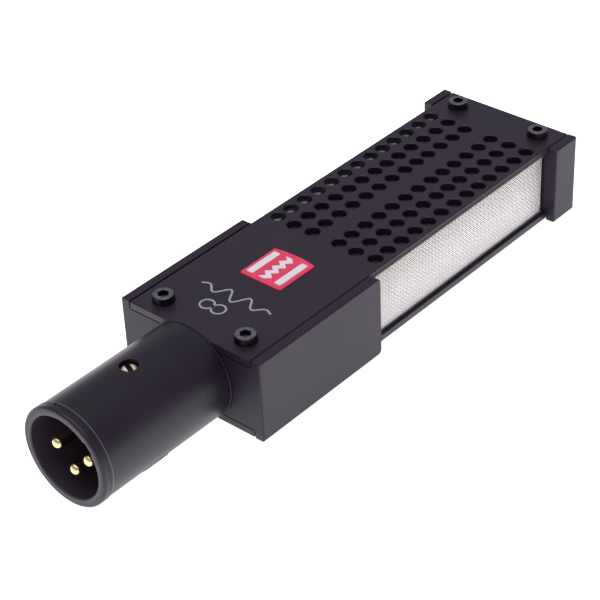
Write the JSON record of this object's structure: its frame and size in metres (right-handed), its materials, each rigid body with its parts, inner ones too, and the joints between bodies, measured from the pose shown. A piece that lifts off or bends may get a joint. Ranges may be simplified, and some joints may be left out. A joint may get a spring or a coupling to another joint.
{
  "type": "ribbon microphone",
  "caption": "Flat bar-shaped ribbon microphone with perforated plates, woven side mesh, round XLR stem, ribbon motor and transformer inside.",
  "frame": {"origin": "middle of the microphone's length and width, at the plane of the back plate's four screw heads, on which it lies", "axes": "+Y along the microphone from the connector's mouth to the head, +Z out of the front plate, +X to the right seen from the front with the head up"},
  "size_m": [0.034, 0.13, 0.0201],
  "materials": {
    "body_coat": "satin dark powder coat, very fine grain",
    "plate_coat": "satin black powder coat, very fine grain",
    "stem_coat": "satin black coat over turned metal",
    "black_screw": "black oxide on steel",
    "mesh_wire": "fine plain-woven bright wire",
    "dark_screen": "black woven screen",
    "badge_enamel": "glossy red enamel",
    "badge_silver": "bright satin",
    "nut_brass": "turned",
    "label_film": "thin blank film",
    "tinned_brass": "tinned",
    "insert_plastic": "moulded black plastic",
    "contact_gold": "gold plated",
    "lock_brass": "machined brass",
    "soft_iron": "zinc plated soft iron",
    "magnet_nickel": "nickel plated",
    "ribbon_foil": "corrugated bright foil",
    "clamp_laminate": "glass fibre laminate",
    "clamp_brass": "machined brass",
    "small_steel": "plated steel",
    "resonator_brass": "etched sheet",
    "pad_rubber": "soft black rubber",
    "core_steel": "stacked laminations",
    "bobbin_nylon": "moulded nylon",
    "copper_wire": "enamelled copper wire",
    "winding_tape": "polyester tape",
    "foam": "closed cell foam",
    "lead_white": "insulated wire",
    "lead_red": "insulated wire",
    "lead_blue": "insulated wire",
    "lead_black": "insulated wire"
  },
  "bodies": {
    "microphone": {"back_plate": "plate_coat", "back_plate_screws": "black_screw", "back_resonator": "resonator_brass", "back_screen": "dark_screen", "badge": "badge_enamel", "badge_emblem": "badge_silver", "clamp_screws": "small_steel", "cold_lead": "lead_blue", "connector_insert": "insert_plastic", "contact_pin_1": "contact_gold", "contact_pin_2": "contact_gold", "contact_pin_3": "contact_gold", "front_plate": "plate_coat", "front_plate_screws": "black_screw", "front_resonator": "resonator_brass", "front_screen": "dark_screen", "ground_lead": "lead_black", "ground_tag": "tinned_brass", "head_block": "body_coat", "hot_lead": "lead_red", "housing": "body_coat", "left_side_mesh": "mesh_wire", "lower_clamp_bar": "clamp_brass", "lower_clamp_block": "clamp_laminate", "lower_motor_pad": "pad_rubber", "lower_ribbon_lead": "lead_white", "magnet_left": "magnet_nickel", "magnet_right": "magnet_nickel", "motor_frame": "soft_iron", "motor_screws": "small_steel", "pole_piece_left": "soft_iron", "pole_piece_right": "soft_iron", "resonator_screws": "small_steel", "ribbon_end_lower": "ribbon_foil", "ribbon_end_upper": "ribbon_foil", "right_side_mesh": "mesh_wire", "stem": "stem_coat", "stem_label": "label_film", "stem_nut": "nut_brass", "transformer_bobbin": "bobbin_nylon", "transformer_core": "core_steel", "transformer_pads": "foam", "transformer_tape": "winding_tape", "transformer_winding": "copper_wire", "upper_clamp_bar": "clamp_brass", "upper_clamp_block": "clamp_laminate", "upper_motor_pad": "pad_rubber", "upper_ribbon_lead": "lead_white"},
    "ribbon_foil": {"ribbon": "ribbon_foil"},
    "lock_screw": {"lock_screw": "lock_brass"}
  },
  "joints": [
    {"name": "ribbon_excursion", "type": "slide", "parent": "microphone", "child": "ribbon_foil", "axis": [0, 0, 1], "range_m": [-0.0003, 0.0003], "stiffness_N_per_m": 2},
    {"name": "lock_screw_turn", "type": "hinge", "parent": "microphone", "child": "lock_screw", "pos_m": [0, -0.048, 0.01705], "axis": [0, 0, 1], "range_deg": [0, 720]}
  ]
}
